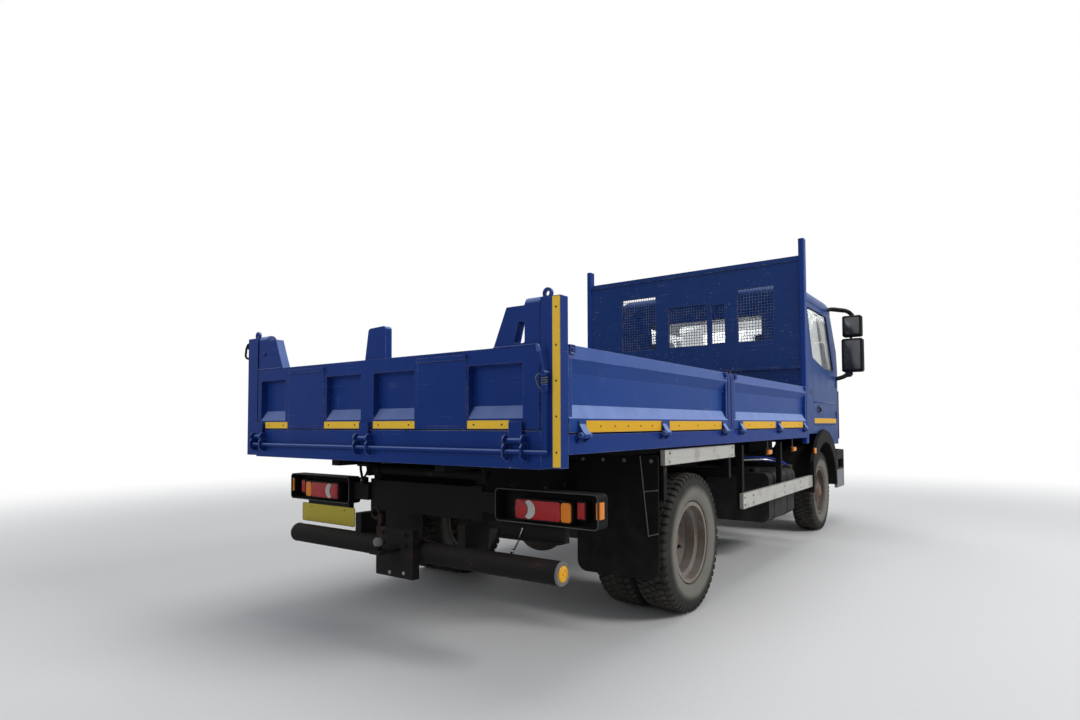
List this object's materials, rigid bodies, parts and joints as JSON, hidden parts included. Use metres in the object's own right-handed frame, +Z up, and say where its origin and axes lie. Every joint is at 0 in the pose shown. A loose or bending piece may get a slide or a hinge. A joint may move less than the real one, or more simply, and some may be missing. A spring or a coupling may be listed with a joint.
{
  "type": "light dropside dump truck",
  "caption": "Light dump truck with a day cab, a steel dropside tipping body with a tall meshed headboard, a top-hung tailgate and twin rear wheels.",
  "frame": {"origin": "on the ground under the middle of the truck's length and width", "axes": "+X forward, +Y to the truck's left, +Z up"},
  "size_m": [6.2374, 2.64, 2.781],
  "materials": {
    "body_blue": "satin",
    "cab_blue": "gloss",
    "floor_steel": "worn",
    "chassis_black": "matt",
    "cast": "rough",
    "ram_chrome": "polished",
    "wheel_grey": "dusty",
    "tyre": "matt",
    "plastic_black": "grained",
    "bumper_grey": "grained",
    "guard_white": "dirty",
    "tank_grey": "satin",
    "lamp_red": "clear",
    "lamp_clear": "clear",
    "seat_cloth": "woven",
    "glass": "clear"
  },
  "bodies": {
    "chassis": {"frame_rails": "chassis_black", "crossmembers": "chassis_black", "subframe": "chassis_black", "leaf_springs": "chassis_black", "front_axle": "cast", "rear_axle": "cast", "powertrain": "cast", "headlamps": "lamp_clear", "bumper": "bumper_grey", "front_mudguards": "plastic_black", "underrun": "chassis_black", "lamp_carriers": "chassis_black", "tail_lamps": "lamp_red", "rear_flaps": "plastic_black", "guard_planks": "guard_white", "guard_brackets": "chassis_black", "fuel_tank": "tank_grey", "battery_box": "plastic_black"},
    "bed": {"floor_plate": "floor_steel", "floor_frame": "body_blue", "side_rails": "body_blue", "posts": "body_blue", "rear_beam": "body_blue", "headboard_panel": "body_blue", "headboard_mesh": "chassis_black"},
    "tailgate": {"tailgate": "body_blue"},
    "side_board_rear_left": {"side_board_rear_left": "body_blue"},
    "side_board_rear_right": {"side_board_rear_right": "body_blue"},
    "side_board_front_left": {"side_board_front_left": "body_blue"},
    "side_board_front_right": {"side_board_front_right": "body_blue"},
    "ram_barrel": {"ram_barrel": "chassis_black"},
    "ram_stage_1": {"ram_stage_1": "ram_chrome"},
    "ram_stage_2": {"ram_stage_2": "ram_chrome"},
    "ram_stage_3": {"ram_stage_3": "ram_chrome"},
    "ram_stage_4": {"ram_stage_4": "ram_chrome"},
    "cab": {"cab_roof": "cab_blue", "cab_back": "cab_blue", "cab_front": "cab_blue", "cab_sides": "cab_blue", "cab_floor": "chassis_black", "cab_glass": "glass", "seats": "seat_cloth", "dashboard": "plastic_black", "mirrors": "plastic_black"},
    "door_left": {"door_left": "cab_blue", "door_glass_left": "glass"},
    "door_right": {"door_right": "cab_blue", "door_glass_right": "glass"},
    "knuckle_left": {"knuckle_left": "cast"},
    "knuckle_right": {"knuckle_right": "cast"},
    "tie_rod": {"tie_rod": "chassis_black"},
    "front_wheel_left": {"front_wheel_left": "wheel_grey", "front_tyre_left": "tyre"},
    "front_wheel_right": {"front_wheel_right": "wheel_grey", "front_tyre_right": "tyre"},
    "rear_wheels_left": {"rear_wheels_left": "wheel_grey", "rear_tyres_left": "tyre"},
    "rear_wheels_right": {"rear_wheels_right": "wheel_grey", "rear_tyres_right": "tyre"}
  },
  "joints": [
    {"name": "bed_tip", "type": "hinge", "parent": "chassis", "child": "bed", "pos_m": [-2.692, 0, 0.835], "axis": [0, -1, 0], "range_deg": [0, 46]},
    {"name": "ram_tilt", "type": "hinge", "parent": "chassis", "child": "ram_barrel", "pos_m": [-1.172, 0, 0.72], "axis": [0, -1, 0], "range_deg": [0, 23]},
    {"name": "ram_extend_1", "type": "slide", "parent": "ram_barrel", "child": "ram_stage_1", "axis": [0, 0, 1], "range_m": [0, 0.2935]},
    {"name": "ram_extend_2", "type": "slide", "parent": "ram_stage_1", "child": "ram_stage_2", "axis": [0, 0, 1], "range_m": [0, 0.2935]},
    {"name": "ram_extend_3", "type": "slide", "parent": "ram_stage_2", "child": "ram_stage_3", "axis": [0, 0, 1], "range_m": [0, 0.2935]},
    {"name": "ram_extend_4", "type": "slide", "parent": "ram_stage_3", "child": "ram_stage_4", "axis": [0, 0, 1], "range_m": [0, 0.2935]},
    {"name": "tailgate_swing", "type": "hinge", "parent": "bed", "child": "tailgate", "pos_m": [-3.032, 0, 1.6], "axis": [0, 1, 0], "range_deg": [0, 90]},
    {"name": "cab_tilt", "type": "hinge", "parent": "chassis", "child": "cab", "pos_m": [3.008, 0, 0.74], "axis": [0, 1, 0], "range_deg": [0, 45]},
    {"name": "door_left_swing", "type": "hinge", "parent": "cab", "child": "door_left", "pos_m": [2.625, 1.051, 1.7], "axis": [0, 0, -1], "range_deg": [0, 70]},
    {"name": "door_right_swing", "type": "hinge", "parent": "cab", "child": "door_right", "pos_m": [2.625, -1.051, 1.7], "axis": [0, 0, 1], "range_deg": [0, 70]},
    {"name": "side_board_rear_left_drop", "type": "hinge", "parent": "bed", "child": "side_board_rear_left", "pos_m": [-2.082, 1.172, 1.053], "axis": [-1, 0, 0], "range_deg": [0, 170]},
    {"name": "side_board_rear_right_drop", "type": "hinge", "parent": "bed", "child": "side_board_rear_right", "pos_m": [-2.082, -1.172, 1.053], "axis": [1, 0, 0], "range_deg": [0, 170]},
    {"name": "side_board_front_left_drop", "type": "hinge", "parent": "bed", "child": "side_board_front_left", "pos_m": [-0.082, 1.172, 1.053], "axis": [-1, 0, 0], "range_deg": [0, 170]},
    {"name": "side_board_front_right_drop", "type": "hinge", "parent": "bed", "child": "side_board_front_right", "pos_m": [-0.082, -1.172, 1.053], "axis": [1, 0, 0], "range_deg": [0, 170]},
    {"name": "steer_left", "type": "hinge", "parent": "chassis", "child": "knuckle_left", "pos_m": [1.944, 0.785, 0.404], "axis": [0, 0, 1], "range_deg": [-38, 38]},
    {"name": "steer_right", "type": "hinge", "parent": "chassis", "child": "knuckle_right", "pos_m": [1.944, -0.785, 0.404], "axis": [0, 0, 1], "range_deg": [-38, 38]},
    {"name": "tie_rod_swing", "type": "hinge", "parent": "knuckle_left", "child": "tie_rod", "pos_m": [1.794, 0.785, 0.306], "axis": [0, 0, 1], "range_deg": [-38, 38]},
    {"name": "front_left_roll", "type": "hinge", "parent": "knuckle_left", "child": "front_wheel_left", "pos_m": [1.944, 0.923, 0.404], "axis": [0, 1, 0], "continuous": true},
    {"name": "front_right_roll", "type": "hinge", "parent": "knuckle_right", "child": "front_wheel_right", "pos_m": [1.944, -0.923, 0.404], "axis": [0, 1, 0], "continuous": true},
    {"name": "rear_left_roll", "type": "hinge", "parent": "chassis", "child": "rear_wheels_left", "pos_m": [-1.596, 0.87, 0.404], "axis": [0, 1, 0], "continuous": true},
    {"name": "rear_right_roll", "type": "hinge", "parent": "chassis", "child": "rear_wheels_right", "pos_m": [-1.596, -0.87, 0.404], "axis": [0, 1, 0], "continuous": true}
  ],
  "couplings": [
    {"joint": "ram_tilt", "follows": "bed_tip", "ratio": 0.4935},
    {"joint": "ram_extend_1", "follows": "bed_tip", "m_per_rad": 0.3647},
    {"joint": "ram_extend_2", "follows": "bed_tip", "m_per_rad": 0.3647},
    {"joint": "ram_extend_3", "follows": "bed_tip", "m_per_rad": 0.3647},
    {"joint": "ram_extend_4", "follows": "bed_tip", "m_per_rad": 0.3647},
    {"joint": "steer_right", "follows": "steer_left", "ratio": 1},
    {"joint": "tie_rod_swing", "follows": "steer_left", "ratio": -1}
  ]
}
